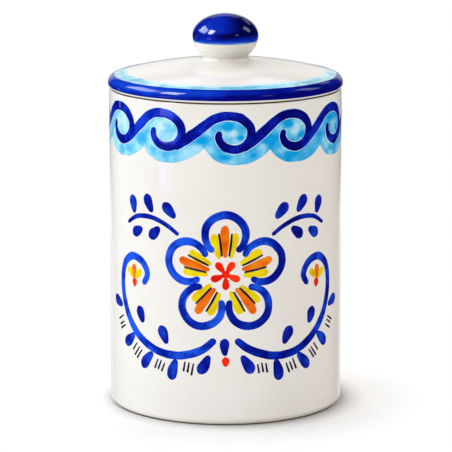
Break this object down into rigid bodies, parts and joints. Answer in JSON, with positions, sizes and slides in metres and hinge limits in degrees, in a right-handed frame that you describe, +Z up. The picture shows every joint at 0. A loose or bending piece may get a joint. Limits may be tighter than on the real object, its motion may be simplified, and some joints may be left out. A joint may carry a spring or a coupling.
{
  "type": "lidded ceramic canister",
  "caption": "Straight-walled glazed ceramic canister with a lift-off domed lid, a locating ring in its mouth, and a round knob.",
  "frame": {"origin": "centre of the foot, on the surface that the jar stands on", "axes": "+Z up along the axis of turning, -Y towards the viewer of the picture, +X to the viewer's right"},
  "size_m": [0.1214, 0.1214, 0.2026],
  "materials": {
    "white_glaze": "glossy warm white tin glaze, bare clay on the foot ring and the lid's seat",
    "cobalt_glaze": "glossy cobalt blue brushed under the glaze",
    "sky_blue_glaze": "glossy watery light blue brushed under the glaze",
    "yellow_glaze": "glossy brushed yellow",
    "orange_glaze": "glossy brushed orange",
    "red_glaze": "glossy brushed red"
  },
  "bodies": {
    "jar": {"jar": "white_glaze"},
    "lid": {"lid": "white_glaze", "knob": "cobalt_glaze"}
  },
  "joints": [
    {"name": "lid_lift", "type": "slide", "parent": "jar", "child": "lid", "axis": [0, 0, 1], "range_m": [0, 0.1]}
  ]
}
